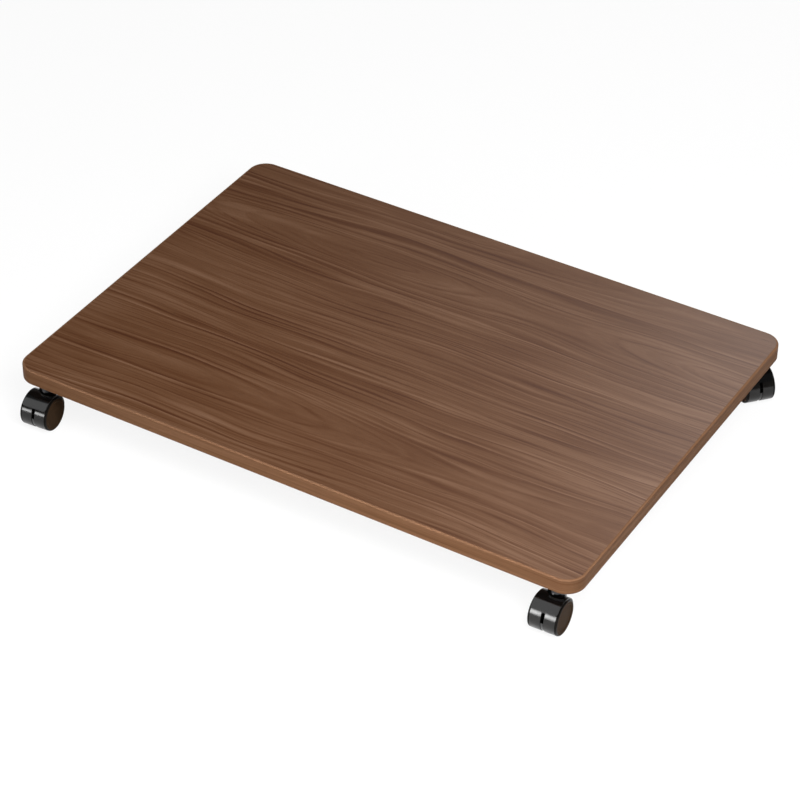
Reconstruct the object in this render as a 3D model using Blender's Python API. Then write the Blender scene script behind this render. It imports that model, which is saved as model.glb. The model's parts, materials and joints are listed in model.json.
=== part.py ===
"""Low wheeled stand: a laminated board with rounded corners on four twin-wheel swivel casters.

Metres, +Z up. The origin is on the floor under the middle of the board, and the long edge runs along X.
"""

import math

import bmesh
import bpy
from mathutils import Matrix

for old in list(bpy.data.objects):
    bpy.data.objects.remove(old, do_unlink=True)

# Board
BOARD_LENGTH = 0.600
BOARD_DEPTH = 0.420
BOARD_THICKNESS = 0.016
CORNER_RADIUS = 0.019
LAMINATE_THICKNESS = 0.0008
BAND_THICKNESS = 0.002
ARRIS_RADIUS = 0.0015
GLUE_LINE = 0.0003

# Casters: where they stand and how each one points, 0 trailing towards the front edge
SWIVEL_INSET_X = 0.0255
SWIVEL_INSET_Y = 0.016
CASTER_HEIGHT = 0.046
TRAIL = 0.012
FRONT_LEFT_YAW = math.radians(4.0)
FRONT_RIGHT_YAW = math.radians(1.5)
BACK_LEFT_YAW = math.radians(230.0)
BACK_RIGHT_YAW = math.radians(48.0)

# Wheels, measured along the axle from the middle of the caster
WHEEL_RADIUS = 0.017
WHEEL_HALF_TRACK = 0.0145
WHEEL_GAP = 0.003
TREAD_WIDTH = 0.0109
TREAD_EDGE = 0.0004
TREAD_GROOVE_WIDTH = 0.0004
TREAD_GROOVE_DEPTH = 0.0005
RIM_THICKNESS = 0.0028
RIM_ROUND = 0.0013
FACE_RING_WIDTH = 0.0024
FACE_RECESS = 0.0005
FACE_BEVEL = 0.0007
DISC_THICKNESS = 0.0035
HUB_RADIUS = 0.0053
AXLE_COVER = 0.0021

# Axle
AXLE_RADIUS = 0.0025
AXLE_CHAMFER = 0.0004

# Housing: hood, swivel boss, central web and axle boss
HOOD_WIDTH = 0.0262
HOOD_WALL = 0.001
HOOD_LIP_ANGLE = math.radians(38.0)
HOOD_REAR_ANGLE = math.radians(180.0)
HOOD_LIP_CORNER = 0.0035
HOOD_EDGE = 0.0003
BOSS_RADIUS = 0.0065
BOSS_BASE_RADIUS = 0.0085
BOSS_FLARE = 0.006
BOSS_CHAMFER = 0.0006
SOCKET_FLOOR = 0.001
WEB_THICKNESS = 0.0022
WEB_FRONT_ANGLE = math.radians(76.0)
WEB_REAR_ANGLE = math.radians(172.0)
GUARD_LOW_ANGLE = math.radians(-60.0)
GUARD_TOP_ANGLE = math.radians(2.0)
GUARD_RECESS = 0.0005
AXLE_BOSS_RADIUS = 0.0045
AXLE_BOSS_LENGTH = 0.0052

# Stem, washer, snap ring and insert nut
PIN_RADIUS = 0.004
PIN_CHAMFER = 0.0005
GROOVE_DEPTH = 0.0008
RING_WIDTH = 0.0014
RING_THICKNESS = 0.0008
RING_OPENING = math.radians(50.0)
COLLAR_ACROSS_FLATS = 0.012
COLLAR_HEIGHT = 0.0025
SHANK_RADIUS = 0.0037
SHANK_LENGTH = 0.0105
WASHER_RADIUS = 0.0065
WASHER_THICKNESS = 0.001
INSERT_RADIUS = 0.0052
INSERT_LENGTH = 0.011
FLANGE_RADIUS = 0.0075
FLANGE_THICKNESS = 0.001

# Clearances
RUNNING_GAP = 0.0003
SEAT_GAP = 0.0003
HOOD_GAP = 0.0004

# Facets of the round pieces
CORNER_STEPS = 8
ARRIS_STEPS = 3
WHEEL_STEPS = 28
HOOD_STEPS = 14
SMALL_STEPS = 20
HOLE_STEPS = 20

# Heights that follow from the sizes above, measured from the floor
AXLE_Z = WHEEL_RADIUS
UNDERSIDE_Z = CASTER_HEIGHT
TOP_Z = UNDERSIDE_Z + BOARD_THICKNESS
FLANGE_TOP = UNDERSIDE_Z - SEAT_GAP
FLANGE_BOTTOM = FLANGE_TOP - FLANGE_THICKNESS
COLLAR_TOP = FLANGE_BOTTOM - SEAT_GAP
COLLAR_BOTTOM = COLLAR_TOP - COLLAR_HEIGHT
WASHER_TOP = COLLAR_BOTTOM - RUNNING_GAP
WASHER_BOTTOM = WASHER_TOP - WASHER_THICKNESS
BOSS_TOP = WASHER_BOTTOM - RUNNING_GAP

# Radii that follow from the sizes above
HOOD_BORE = WHEEL_RADIUS + HOOD_GAP
HOOD_RADIUS = HOOD_BORE + HOOD_WALL
SOCKET_RADIUS = PIN_RADIUS + RUNNING_GAP
GROOVE_RADIUS = PIN_RADIUS - GROOVE_DEPTH
RING_BORE = GROOVE_RADIUS + RUNNING_GAP
RING_RADIUS = RING_BORE + RING_WIDTH
AXLE_BORE = AXLE_RADIUS + RUNNING_GAP
INSERT_BORE = SHANK_RADIUS + RUNNING_GAP
INSERT_HOLE = INSERT_RADIUS + SEAT_GAP
INSERT_TOP = FLANGE_TOP + INSERT_LENGTH

# The socket for the swivel pin ends just above the space that the wheels turn in
SOCKET_REACH = max(TRAIL - SOCKET_RADIUS, 0.0)
SOCKET_BOTTOM = AXLE_Z + math.sqrt(max(HOOD_BORE ** 2 - SOCKET_REACH ** 2, 0.0)) + SOCKET_FLOOR
PIN_BOTTOM = SOCKET_BOTTOM + SEAT_GAP

# The snap ring sits midway along the pin, and the pin's chamfer keeps clear of its groove
RING_MIDDLE = (PIN_BOTTOM + BOSS_TOP) / 2
RING_BOTTOM = RING_MIDDLE - RING_THICKNESS / 2
RING_TOP = RING_MIDDLE + RING_THICKNESS / 2
PIN_LAND = RING_BOTTOM - RUNNING_GAP - PIN_BOTTOM
PIN_END_CHAMFER = min(PIN_CHAMFER, PIN_LAND / 2)

# Axle ends and wheel faces, measured from the middle of the caster
WHEEL_INNER_FACE = WHEEL_GAP / 2
BORE_END = WHEEL_HALF_TRACK - AXLE_COVER - FACE_RECESS
AXLE_HALF_LENGTH = BORE_END - SEAT_GAP
HUB_FACE = AXLE_BOSS_LENGTH / 2 + RUNNING_GAP


def finished(bm):
    """Close up the drawn surface and turn it into a smooth-shaded mesh."""
    bmesh.ops.remove_doubles(bm, verts=bm.verts, dist=1e-7)
    bmesh.ops.recalc_face_normals(bm, faces=bm.faces)
    mesh = bpy.data.meshes.new("shape")
    bm.to_mesh(mesh)
    bm.free()
    return mesh


def smooth(mesh):
    mesh.shade_smooth()
    mesh.set_sharp_from_angle(angle=math.radians(35.0))
    return mesh


def lathe(profile, steps, ring=False, turn=2 * math.pi):
    """Turn a profile of (radius, height) about Z; ring joins its last point to its first."""
    bm = bmesh.new()
    points = [bm.verts.new((radius, 0.0, height)) for radius, height in profile]
    lines = [bm.edges.new(pair) for pair in zip(points, points[1:])]
    if ring:
        lines.append(bm.edges.new((points[-1], points[0])))
    whole = turn > 2 * math.pi - 1e-6
    bmesh.ops.spin(
        bm,
        geom=points + lines,
        cent=(0.0, 0.0, 0.0),
        axis=(0.0, 0.0, 1.0),
        angle=turn,
        steps=steps,
        use_merge=whole,
    )
    if not whole:
        bmesh.ops.holes_fill(bm, edges=[e for e in bm.edges if e.is_boundary], sides=0)
    return finished(bm)


def cylinder(radius, low, high, steps):
    return lathe([(0.0, high), (radius, high), (radius, low), (0.0, low)], steps)


def along_x(mesh, turn=0.0):
    """Lay a turned shape's axis along X, and turn it about that axis."""
    mesh.transform(Matrix.Rotation(turn, 4, "X") @ Matrix.Rotation(math.pi / 2, 4, "Y"))
    return mesh


def moved(mesh, x, y, z):
    mesh.transform(Matrix.Translation((x, y, z)))
    return mesh


def carved(mesh, steps):
    """Join or cut shapes in turn; steps holds pairs of an operation and a mesh."""
    blank = bpy.data.objects.new("blank", mesh)
    bpy.context.scene.collection.objects.link(blank)
    tools = []
    for operation, shape in steps:
        tool = bpy.data.objects.new("tool", shape)
        bpy.context.scene.collection.objects.link(tool)
        tool.hide_render = True
        tool.display_type = "WIRE"
        change = blank.modifiers.new(operation, "BOOLEAN")
        change.operation = operation
        change.solver = "EXACT"
        change.object = tool
        tools.append(tool)
    seen = blank.evaluated_get(bpy.context.evaluated_depsgraph_get())
    result = bpy.data.meshes.new_from_object(seen)
    for spent in [blank] + tools:
        bpy.data.objects.remove(spent, do_unlink=True)
    return result


def board_outline(inset):
    """Points of the board's rounded outline, moved in by inset."""
    radius = max(CORNER_RADIUS - inset, 0.0005)
    reach_x = BOARD_LENGTH / 2 - inset - radius
    reach_y = BOARD_DEPTH / 2 - inset - radius
    corners = ((reach_x, reach_y), (-reach_x, reach_y), (-reach_x, -reach_y), (reach_x, -reach_y))
    points = []
    for number, (x, y) in enumerate(corners):
        for step in range(CORNER_STEPS + 1):
            angle = (number + step / CORNER_STEPS) * math.pi / 2
            points.append((x + radius * math.cos(angle), y + radius * math.sin(angle)))
    return points


def slab(inset, low, high):
    bm = bmesh.new()
    face = bm.faces.new([bm.verts.new((x, y, low)) for x, y in board_outline(inset)])
    raised = bmesh.ops.extrude_face_region(bm, geom=[face])
    lifted = [item for item in raised["geom"] if isinstance(item, bmesh.types.BMVert)]
    bmesh.ops.translate(bm, verts=lifted, vec=(0.0, 0.0, high - low))
    return finished(bm)


def band():
    """Ring that follows the board's outline, with both outer arrises rounded."""
    arc = [math.pi / 2 * step / ARRIS_STEPS for step in range(ARRIS_STEPS + 1)]
    profile = [(BAND_THICKNESS, UNDERSIDE_Z)]
    for angle in arc:
        inset = ARRIS_RADIUS * (1 - math.sin(angle))
        profile.append((inset, UNDERSIDE_Z + ARRIS_RADIUS * (1 - math.cos(angle))))
    for angle in reversed(arc):
        inset = ARRIS_RADIUS * (1 - math.sin(angle))
        profile.append((inset, TOP_Z - ARRIS_RADIUS * (1 - math.cos(angle))))
    profile.append((BAND_THICKNESS, TOP_Z))
    bm = bmesh.new()
    loops = []
    for inset, height in profile:
        loops.append([bm.verts.new((x, y, height)) for x, y in board_outline(inset)])
    for one, other in zip(loops, loops[1:] + loops[:1]):
        for n in range(len(one)):
            bm.faces.new((one[n - 1], one[n], other[n], other[n - 1]))
    return finished(bm)


def swivel_points():
    x = BOARD_LENGTH / 2 - SWIVEL_INSET_X
    y = BOARD_DEPTH / 2 - SWIVEL_INSET_Y
    return {
        "front_left": (-x, -y, FRONT_LEFT_YAW),
        "front_right": (x, -y, FRONT_RIGHT_YAW),
        "back_left": (-x, y, BACK_LEFT_YAW),
        "back_right": (x, y, BACK_RIGHT_YAW),
    }


def insert_holes():
    """Drills for the insert nuts, one at each swivel point."""
    low = UNDERSIDE_Z - BOARD_THICKNESS
    high = INSERT_TOP + SEAT_GAP
    drills = []
    for x, y, yaw in swivel_points().values():
        drill = cylinder(INSERT_HOLE, low, high, HOLE_STEPS)
        drills.append(("DIFFERENCE", moved(drill, x, y, 0.0)))
    return drills


def wheel():
    """Wheel on the +X side: flat tread, groove, rounded face, hollow inside, hub with a blind bore."""
    outer = WHEEL_HALF_TRACK
    face = outer - FACE_RECESS
    tread_end = WHEEL_INNER_FACE + TREAD_WIDTH
    groove_end = tread_end + TREAD_GROOVE_WIDTH
    ring_outer = WHEEL_RADIUS - RIM_ROUND
    ring_inner = ring_outer - FACE_RING_WIDTH
    half_round = RIM_ROUND * (1 - math.sqrt(0.5))
    rim_inner = WHEEL_RADIUS - RIM_THICKNESS
    disc_back = face - DISC_THICKNESS
    rolling = WHEEL_RADIUS / math.cos(math.pi / WHEEL_STEPS)
    profile = [
        (0.0, face),
        (ring_inner - FACE_BEVEL, face),
        (ring_inner, outer),
        (ring_outer, outer),
        (WHEEL_RADIUS - half_round, outer - half_round),
        (WHEEL_RADIUS, groove_end),
        (WHEEL_RADIUS - TREAD_GROOVE_DEPTH, groove_end),
        (WHEEL_RADIUS - TREAD_GROOVE_DEPTH, tread_end),
        (rolling, tread_end),
        (rolling, WHEEL_INNER_FACE + TREAD_EDGE),
        (WHEEL_RADIUS - TREAD_EDGE, WHEEL_INNER_FACE),
        (rim_inner, WHEEL_INNER_FACE),
        (rim_inner, disc_back),
        (HUB_RADIUS, disc_back),
        (HUB_RADIUS, HUB_FACE),
        (AXLE_BORE, HUB_FACE),
        (AXLE_BORE, BORE_END),
        (0.0, BORE_END),
    ]
    return along_x(lathe(profile, WHEEL_STEPS), math.pi / WHEEL_STEPS)


def hood():
    """Strip over the treads, from the rounded lip round the top to the rear, about the wheel centre."""
    half = HOOD_WIDTH / 2
    corner = HOOD_LIP_CORNER
    inner = HOOD_BORE - HOOD_WALL
    turned = [corner * (1 - math.cos(math.radians(a))) for a in (30.0, 60.0, 90.0)]
    columns = []
    for inset in [0.0, HOOD_EDGE] + turned:
        rise = corner - math.sqrt(max(corner ** 2 - (corner - inset) ** 2, 0.0))
        radius = HOOD_RADIUS - max(HOOD_EDGE - inset, 0.0)
        columns.append((inset - half, rise / HOOD_RADIUS, radius))
    columns += [(-x, rise, radius) for x, rise, radius in reversed(columns)]
    bm = bmesh.new()
    skins = []
    for x, rise, radius in columns:
        start = HOOD_LIP_ANGLE + rise
        angles = [start + (HOOD_REAR_ANGLE - start) * n / HOOD_STEPS for n in range(HOOD_STEPS + 1)]
        over = [bm.verts.new((x, -radius * math.cos(a), radius * math.sin(a))) for a in angles]
        under = [bm.verts.new((x, -inner * math.cos(a), inner * math.sin(a))) for a in angles]
        skins.append(over + under[::-1])
    around = len(skins[0])
    for one, other in zip(skins, skins[1:]):
        for n in range(around):
            m = (n + 1) % around
            bm.faces.new((one[n], one[m], other[m], other[n]))
    for side in (skins[0], skins[-1]):
        for n in range(HOOD_STEPS):
            bm.faces.new((side[n], side[n + 1], side[around - 2 - n], side[around - 1 - n]))
    bmesh.ops.triangulate(bm, faces=bm.faces)
    return moved(finished(bm), 0.0, -TRAIL, AXLE_Z)


def web():
    """Plate between the wheels: up to the hood behind, nearly flush with the treads low in front."""
    runs = [
        (GUARD_LOW_ANGLE, GUARD_TOP_ANGLE, WHEEL_RADIUS - GUARD_RECESS),
        (GUARD_TOP_ANGLE, WEB_FRONT_ANGLE, (AXLE_BOSS_RADIUS + WHEEL_RADIUS) / 2),
        (WEB_FRONT_ANGLE, WEB_REAR_ANGLE, HOOD_BORE + HOOD_WALL / 2),
        (WEB_REAR_ANGLE, GUARD_LOW_ANGLE, (AXLE_BORE + AXLE_BOSS_RADIUS) / 2),
    ]
    outline = []
    for start, end, radius in runs:
        sweep = [start + (end - start) * n / HOOD_STEPS for n in range(HOOD_STEPS + 1)]
        outline += [(-radius * math.cos(a), radius * math.sin(a)) for a in sweep]
    bm = bmesh.new()
    face = bm.faces.new([bm.verts.new((-WEB_THICKNESS / 2, y, z)) for y, z in outline])
    raised = bmesh.ops.extrude_face_region(bm, geom=[face])
    lifted = [item for item in raised["geom"] if isinstance(item, bmesh.types.BMVert)]
    bmesh.ops.translate(bm, verts=lifted, vec=(WEB_THICKNESS, 0.0, 0.0))
    return moved(finished(bm), 0.0, -TRAIL, AXLE_Z)


def swivel_boss():
    low = AXLE_Z + HOOD_WALL
    profile = [
        (0.0, BOSS_TOP),
        (BOSS_RADIUS - BOSS_CHAMFER, BOSS_TOP),
        (BOSS_RADIUS, BOSS_TOP - BOSS_CHAMFER),
        (BOSS_BASE_RADIUS, BOSS_TOP - BOSS_FLARE),
        (BOSS_BASE_RADIUS, low),
        (0.0, low),
    ]
    return lathe(profile, SMALL_STEPS)


def socket():
    """Space for the swivel pin, with a groove for the snap ring."""
    wide = RING_RADIUS + RUNNING_GAP
    profile = [
        (0.0, BOSS_TOP + WASHER_THICKNESS),
        (SOCKET_RADIUS, BOSS_TOP + WASHER_THICKNESS),
        (SOCKET_RADIUS, RING_TOP + RUNNING_GAP),
        (wide, RING_TOP + RUNNING_GAP),
        (wide, RING_BOTTOM - RUNNING_GAP),
        (SOCKET_RADIUS, RING_BOTTOM - RUNNING_GAP),
        (SOCKET_RADIUS, SOCKET_BOTTOM),
        (0.0, SOCKET_BOTTOM),
    ]
    return lathe(profile, SMALL_STEPS)


def housing():
    room = HOOD_BORE / math.cos(math.pi / WHEEL_STEPS)
    turning = along_x(cylinder(room, -HOOD_WIDTH, HOOD_WIDTH, WHEEL_STEPS), math.pi / WHEEL_STEPS)
    half = AXLE_BOSS_LENGTH / 2
    bush = along_x(cylinder(AXLE_BOSS_RADIUS, -half, half, SMALL_STEPS))
    bore = along_x(cylinder(AXLE_BORE, -HOOD_WIDTH, HOOD_WIDTH, HOLE_STEPS))
    return carved(
        hood(),
        [
            ("UNION", swivel_boss()),
            ("DIFFERENCE", moved(turning, 0.0, -TRAIL, AXLE_Z)),
            ("UNION", web()),
            ("UNION", moved(bush, 0.0, -TRAIL, AXLE_Z)),
            ("DIFFERENCE", socket()),
            ("DIFFERENCE", moved(bore, 0.0, -TRAIL, AXLE_Z)),
        ],
    )


def axle():
    profile = [
        (0.0, AXLE_HALF_LENGTH),
        (AXLE_RADIUS - AXLE_CHAMFER, AXLE_HALF_LENGTH),
        (AXLE_RADIUS, AXLE_HALF_LENGTH - AXLE_CHAMFER),
        (AXLE_RADIUS, AXLE_CHAMFER - AXLE_HALF_LENGTH),
        (AXLE_RADIUS - AXLE_CHAMFER, -AXLE_HALF_LENGTH),
        (0.0, -AXLE_HALF_LENGTH),
    ]
    return along_x(lathe(profile, SMALL_STEPS))


def stem():
    """Threaded shank above a hexagonal collar, and below it the swivel pin with its ring groove."""
    shank_top = COLLAR_TOP + SHANK_LENGTH
    middle = (COLLAR_TOP + COLLAR_BOTTOM) / 2
    profile = [
        (0.0, shank_top),
        (SHANK_RADIUS - PIN_CHAMFER, shank_top),
        (SHANK_RADIUS, shank_top - PIN_CHAMFER),
        (SHANK_RADIUS, middle),
        (PIN_RADIUS, middle),
        (PIN_RADIUS, RING_TOP + RUNNING_GAP),
        (GROOVE_RADIUS, RING_TOP + RUNNING_GAP),
        (GROOVE_RADIUS, RING_BOTTOM - RUNNING_GAP),
        (PIN_RADIUS, RING_BOTTOM - RUNNING_GAP),
        (PIN_RADIUS, PIN_BOTTOM + PIN_END_CHAMFER),
        (PIN_RADIUS - PIN_END_CHAMFER, PIN_BOTTOM),
        (0.0, PIN_BOTTOM),
    ]
    corner = COLLAR_ACROSS_FLATS / 2 / math.cos(math.pi / 6)
    collar = cylinder(corner, COLLAR_BOTTOM, COLLAR_TOP, 6)
    return carved(lathe(profile, SMALL_STEPS), [("UNION", collar)])


def thrust_washer():
    inner = PIN_RADIUS + RUNNING_GAP
    profile = [
        (WASHER_RADIUS, WASHER_TOP),
        (WASHER_RADIUS, WASHER_BOTTOM),
        (inner, WASHER_BOTTOM),
        (inner, WASHER_TOP),
    ]
    return lathe(profile, SMALL_STEPS, ring=True)


def snap_ring():
    """Open ring in the pin's groove."""
    profile = [
        (RING_RADIUS, RING_TOP),
        (RING_RADIUS, RING_BOTTOM),
        (RING_BORE, RING_BOTTOM),
        (RING_BORE, RING_TOP),
    ]
    return lathe(profile, SMALL_STEPS - 3, ring=True, turn=2 * math.pi - RING_OPENING)


def insert_nut():
    profile = [
        (FLANGE_RADIUS, FLANGE_TOP),
        (FLANGE_RADIUS, FLANGE_BOTTOM),
        (INSERT_BORE, FLANGE_BOTTOM),
        (INSERT_BORE, INSERT_TOP),
        (INSERT_RADIUS, INSERT_TOP),
        (INSERT_RADIUS, FLANGE_TOP),
    ]
    return lathe(profile, SMALL_STEPS, ring=True)


def finish(name, colour, roughness, metallic):
    material = bpy.data.materials.new(name)
    material.use_nodes = True
    surface = material.node_tree.nodes["Principled BSDF"]
    surface.inputs["Base Color"].default_value = colour + (1.0,)
    surface.inputs["Roughness"].default_value = roughness
    surface.inputs["Metallic"].default_value = metallic
    material.diffuse_color = colour + (1.0,)
    return material


def place(name, mesh, material, parent, location=(0.0, 0.0, 0.0), turn=0.0):
    smooth(mesh)
    if not mesh.materials:
        mesh.materials.append(material)
    piece = bpy.data.objects.new(name, mesh)
    bpy.context.scene.collection.objects.link(piece)
    piece.parent = parent
    piece.location = location
    piece.rotation_euler = (0.0, 0.0, turn)
    return piece


def pivot(name, parent, location=(0.0, 0.0, 0.0), turn=0.0):
    point = bpy.data.objects.new(name, None)
    bpy.context.scene.collection.objects.link(point)
    point.parent = parent
    point.location = location
    point.rotation_euler = (0.0, 0.0, turn)
    return point


walnut = finish("walnut_top", (0.145, 0.076, 0.038), 0.42, 0.0)
walnut_edge = finish("walnut_edge", (0.19, 0.095, 0.046), 0.45, 0.0)
backing = finish("backing_sheet", (0.30, 0.20, 0.12), 0.6, 0.0)
chipboard = finish("core_board", (0.46, 0.34, 0.20), 0.9, 0.0)
black = finish("black_nylon", (0.012, 0.012, 0.013), 0.22, 0.0)
black_wheel = finish("black_wheel", (0.016, 0.015, 0.015), 0.28, 0.0)
zinc = finish("zinc_steel", (0.62, 0.63, 0.64), 0.3, 1.0)
spring = finish("spring_steel", (0.10, 0.10, 0.11), 0.35, 1.0)
nylon = finish("white_nylon", (0.75, 0.74, 0.70), 0.5, 0.0)

stand = pivot("stand", None)

# Board: core between two sheets, with a band round the edge
sheet_inset = BAND_THICKNESS + GLUE_LINE
core_low = UNDERSIDE_Z + LAMINATE_THICKNESS + GLUE_LINE
core_high = TOP_Z - LAMINATE_THICKNESS - GLUE_LINE
place("top_laminate", slab(sheet_inset, TOP_Z - LAMINATE_THICKNESS, TOP_Z), walnut, stand)
place("edge_band", band(), walnut_edge, stand)
place("board_core", carved(slab(sheet_inset, core_low, core_high), insert_holes()), chipboard, stand)
lower = slab(sheet_inset, UNDERSIDE_Z, UNDERSIDE_Z + LAMINATE_THICKNESS)
place("bottom_laminate", carved(lower, insert_holes()), backing, stand)

# Casters: the insert nut, stem, washer and ring stay with the board, the rest swivels about the stem
shapes = {
    "insert_nut": (insert_nut(), zinc),
    "stem": (stem(), zinc),
    "thrust_washer": (thrust_washer(), nylon),
    "snap_ring": (snap_ring(), spring),
}
housing_shape = housing()
axle_shape = axle()
wheel_shape = wheel()
for corner, (x, y, yaw) in swivel_points().items():
    fixing = pivot(corner + "_fixing", stand, (x, y, 0.0), yaw)
    for piece, (mesh, material) in shapes.items():
        place(corner + "_" + piece, mesh, material, fixing)
    swivel = pivot(corner + "_swivel", stand, (x, y, 0.0), yaw)
    place(corner + "_housing", housing_shape, black, swivel)
    centre = (0.0, -TRAIL, AXLE_Z)
    place(corner + "_axle", axle_shape, zinc, swivel, centre)
    place(corner + "_wheel_right", wheel_shape, black_wheel, swivel, centre)
    place(corner + "_wheel_left", wheel_shape, black_wheel, swivel, centre, math.pi)
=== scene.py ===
import json
import math

import bmesh
import bpy
from mathutils import Matrix, Vector


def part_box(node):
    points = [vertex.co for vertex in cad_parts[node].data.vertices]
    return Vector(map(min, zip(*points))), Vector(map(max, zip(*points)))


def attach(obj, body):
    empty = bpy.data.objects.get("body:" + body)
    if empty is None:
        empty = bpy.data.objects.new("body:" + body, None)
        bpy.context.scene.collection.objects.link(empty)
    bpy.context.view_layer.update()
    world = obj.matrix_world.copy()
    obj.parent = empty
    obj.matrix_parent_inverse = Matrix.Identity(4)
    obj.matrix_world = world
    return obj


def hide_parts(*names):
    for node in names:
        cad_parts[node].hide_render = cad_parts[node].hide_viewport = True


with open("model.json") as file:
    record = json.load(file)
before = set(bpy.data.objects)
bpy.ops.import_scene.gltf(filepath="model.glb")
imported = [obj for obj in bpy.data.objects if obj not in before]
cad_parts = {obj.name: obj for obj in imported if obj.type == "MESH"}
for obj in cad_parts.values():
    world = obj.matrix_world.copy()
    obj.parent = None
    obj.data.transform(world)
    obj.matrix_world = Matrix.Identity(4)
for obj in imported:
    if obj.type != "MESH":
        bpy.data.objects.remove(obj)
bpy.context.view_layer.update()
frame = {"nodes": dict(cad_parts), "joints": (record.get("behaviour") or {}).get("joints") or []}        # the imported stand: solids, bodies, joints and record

scene = bpy.context.scene
scene.view_settings.view_transform = "Standard"
mm = 0.001
joints = {joint["name"]: joint for joint in frame["joints"]}
corners = ("front_left", "front_right", "back_left", "back_right")


# small helpers for node trees

def addNode(tree, kind, values=None, **settings):
    node = tree.nodes.new(kind)
    for key, value in settings.items():
        setattr(node, key, value)
    for key, value in (values or {}).items():
        if isinstance(value, bpy.types.NodeSocket):
            tree.links.new(value, node.inputs[key])
        else:
            node.inputs[key].default_value = value
    return node


def calc(tree, operation, *terms):
    return addNode(tree, "ShaderNodeMath", dict(enumerate(terms)), operation=operation).outputs[0]


def vectorOf(tree, x=0.0, y=0.0, z=0.0):
    return addNode(tree, "ShaderNodeCombineXYZ", {0: x, 1: y, 2: z}).outputs[0]


def noise(tree, vector, scale=1.0, detail=2.0, roughness=0.5):
    values = {"Vector": vector, "Scale": scale, "Detail": detail, "Roughness": roughness}
    return addNode(tree, "ShaderNodeTexNoise", values, noise_dimensions="3D").outputs[0]


def blendValue(tree, factor, low, high):
    node = addNode(tree, "ShaderNodeMix", {0: factor, 2: low, 3: high}, data_type="FLOAT")
    return node.outputs[0]


def blendColour(tree, factor, low, high):
    return addNode(tree, "ShaderNodeMix", {0: factor, 6: low, 7: high}, data_type="RGBA").outputs[2]


def spread(tree, value, fromLow, fromHigh, toLow=0.0, toHigh=1.0, kind="SMOOTHSTEP"):
    values = {"Value": value, "From Min": fromLow, "From Max": fromHigh, "To Min": toLow, "To Max": toHigh}
    return addNode(tree, "ShaderNodeMapRange", values, interpolation_type=kind).outputs[0]


def ramp(tree, factor, stops):
    node = addNode(tree, "ShaderNodeValToRGB", {0: factor})
    points = node.color_ramp.elements
    while len(points) < len(stops):
        points.new(0.5)
    for point, (place, colour) in zip(points, stops):
        point.position = place
        point.color = (*colour, 1.0)
    return node.outputs[0]


def bump(tree, height, strength, distance):
    values = {"Height": height, "Strength": strength, "Distance": distance}
    return addNode(tree, "ShaderNodeBump", values).outputs[0]


def newFinish(name):
    finish = bpy.data.materials.new(name)
    finish.use_nodes = True
    surface = finish.node_tree.nodes["Principled BSDF"]
    return finish, finish.node_tree, surface


def feed(tree, surface, **sockets):
    names = {"colour": "Base Color", "roughness": "Roughness", "normal": "Normal"}
    for key, value in sockets.items():
        tree.links.new(value, surface.inputs[names[key]])


def stretched(tree, along, across, lengthways, crossways, seed, **settings):
    x = calc(tree, "DIVIDE", along, lengthways)
    y = calc(tree, "DIVIDE", across, crossways)
    return noise(tree, vectorOf(tree, x, y, seed), **settings)


def objectSpot(tree):
    return addNode(tree, "ShaderNodeTexCoord").outputs["Object"]


def inMillimetres(tree, vector):
    spot = addNode(tree, "ShaderNodeSeparateXYZ", {0: vector}).outputs
    return [calc(tree, "MULTIPLY", spot[n], 1000.0) for n in (0, 1)]


# walnut print of the top sheet: rings round three hearts, cut at a shallow angle, so they run out in arches

walnutSettings = {
    # place across, depth below the sheet, tilt, then bends: rise, middle and softness (mm)
    "hearts": (
        (-133.0, 31.0, 0.0, ((-0.056, 158.0, 40.0),)),
        (119.0, 18.0, -0.10, ((0.10, -95.0, 50.0), (-0.10, 96.0, 45.0))),
        (208.0, 46.0, 0.0, ((-0.085, 290.0, 50.0),)),
    ),
    # where one heart's figure gives way to the next, and how softly (mm)
    "borders": ((4.0, 22.0), (166.0, 10.0)),
    # width (mm), sharpness of the line, strength
    "rings": ((8.6, 3.6, 0.60), (4.2, 3.0, 0.44), (2.0, 2.4, 0.16)),
    "ringDrift": (600.0, 2.3, 3.4),   # length (mm), breadth in ring widths, and rings of uneven spacing
    "ringShows": (36.0, 1.1),         # how far a line stays visible, along and across, in ring widths
    "lateEnd": 0.84,                  # where in a ring the dark wood starts to stop
    "earlyStart": 0.12,
    "early": 0.4,                     # strength of the pale line beside the dark one
    # length, breadth and size of each sway (mm)
    "wander": ((230.0, 44.0, 10.0), (110.0, 14.0, 1.7), (40.0, 4.0, 0.5)),
    # length, breadth (mm) and strength
    "streaks": ((190.0, 30.0, 0.50), (420.0, 11.0, 0.34), (300.0, 4.0, 0.22)),
    "grain": (260.0, 5.0, 0.40),
    "fray": (46.0, 2.4, 0.75),        # ragged tips of the arches, the same way
    "threads": 0.20,
    "flecks": (0.42, (0.022, 0.0105, 0.0052, 1.0)),   # strength and colour of the pores
    "stops": (
        (0.06, (0.058, 0.0165, 0.0040)),
        (0.28, (0.083, 0.0300, 0.0095)),
        (0.50, (0.111, 0.0480, 0.0205)),
        (0.72, (0.150, 0.0740, 0.0390)),
        (0.94, (0.197, 0.1070, 0.0640)),
    ),
    "contrast": 1.28,
    "roughness": (0.27, 0.36),
    "specular": 0.5,
}


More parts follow.
